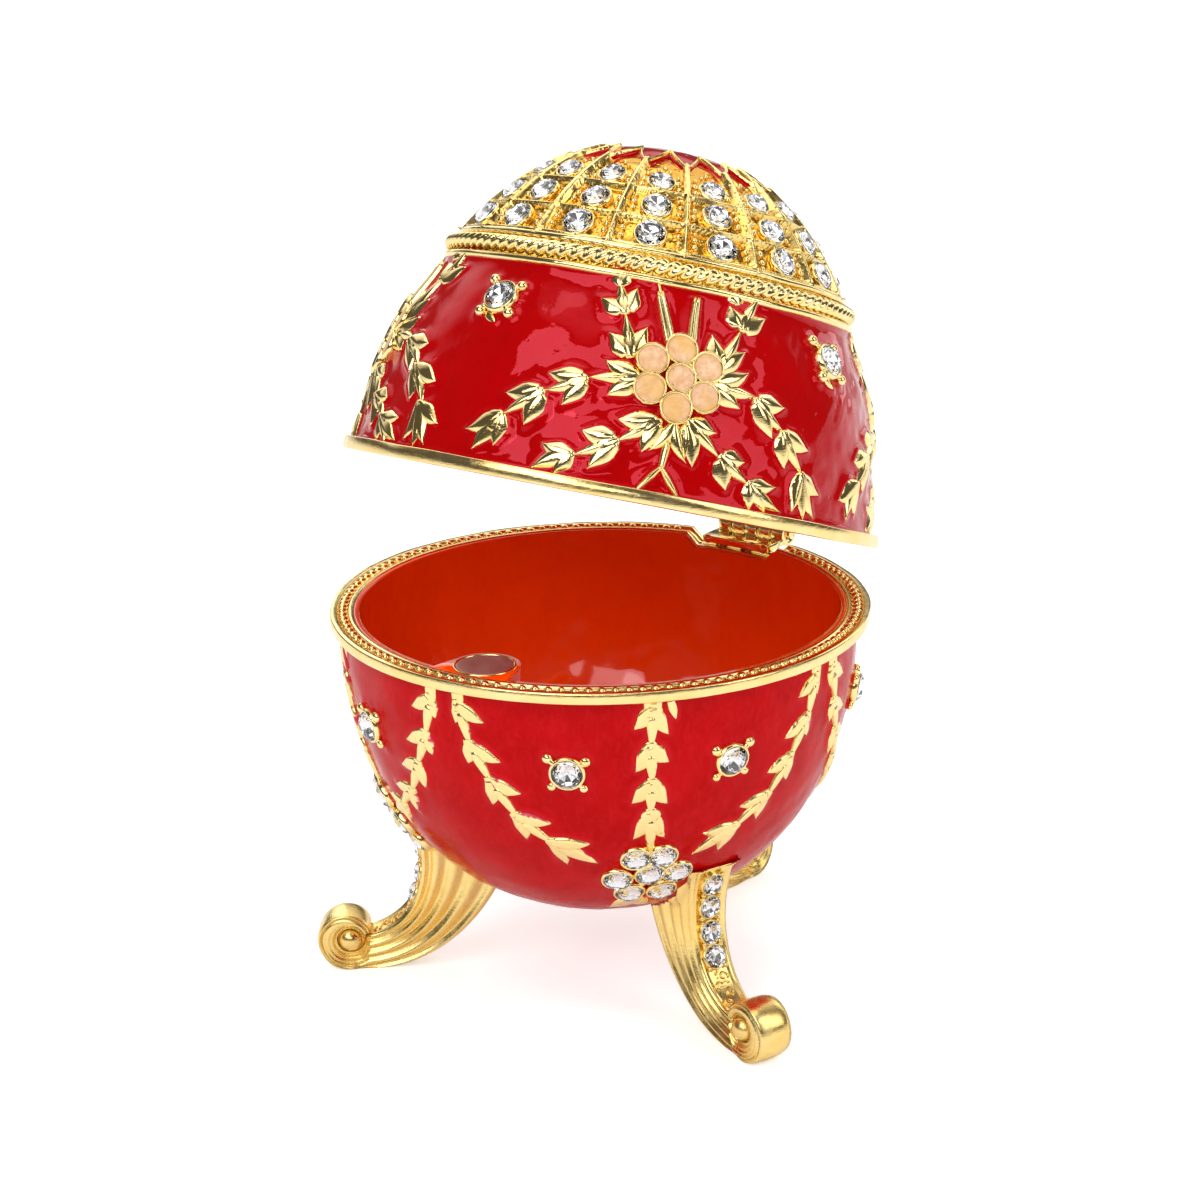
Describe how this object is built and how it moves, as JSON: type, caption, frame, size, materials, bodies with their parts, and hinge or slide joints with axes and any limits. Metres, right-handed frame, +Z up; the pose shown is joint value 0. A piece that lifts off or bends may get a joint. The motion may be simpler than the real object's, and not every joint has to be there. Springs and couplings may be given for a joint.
{
  "type": "jewelled egg trinket box",
  "caption": "Egg-shaped trinket box in red enamel and gold with leaf garlands and clear stones, on scroll legs, with a hinged lid closed by a magnet.",
  "frame": {"origin": "on the ground plane, at the centre of the footprint box of the whole part as modelled, lid open", "axes": "+Z up; +Y to the back, where the hinge is; the hinge axis runs along X"},
  "size_m": [0.0512, 0.0534, 0.0777],
  "materials": {
    "red_enamel": "glossy translucent red enamel over gilded relief",
    "gold_plate": "polished gold plate",
    "nickel": "polished nickel-plated magnet",
    "crystal": "faceted clear rhinestone"
  },
  "bodies": {
    "base": {"bowl": "red_enamel", "hinge_leaf_bowl": "gold_plate", "hinge_pin": "gold_plate", "magnet_bowl": "nickel", "leg_back": "gold_plate", "leg_front_right": "gold_plate", "leg_front_left": "gold_plate", "stone_leg_back_1": "crystal", "stone_leg_back_2": "crystal", "stone_leg_back_3": "crystal", "stone_leg_back_4": "crystal", "stone_leg_front_right_1": "crystal", "stone_leg_front_right_2": "crystal", "stone_leg_front_right_3": "crystal", "stone_leg_front_right_4": "crystal", "stone_leg_front_left_1": "crystal", "stone_leg_front_left_2": "crystal", "stone_leg_front_left_3": "crystal", "stone_leg_front_left_4": "crystal", "stone_bowl_1": "crystal", "stone_bowl_2": "crystal", "stone_bowl_3": "crystal", "stone_bowl_4": "crystal", "stone_bowl_5": "crystal", "stone_bowl_6": "crystal", "stone_bowl_7": "crystal", "stone_bowl_8": "crystal"},
    "lid": {"lid": "red_enamel", "hinge_leaf_lid": "gold_plate", "magnet_lid": "nickel", "stone_lid_1": "crystal", "stone_lid_2": "crystal", "stone_lid_3": "crystal", "stone_lid_4": "crystal"}
  },
  "joints": [
    {"name": "lid_hinge", "type": "hinge", "parent": "base", "child": "lid", "pos_m": [-0.00058, 0.02533, 0.03672], "axis": [-1, 0, 0], "range_deg": [-20, 65]}
  ]
}
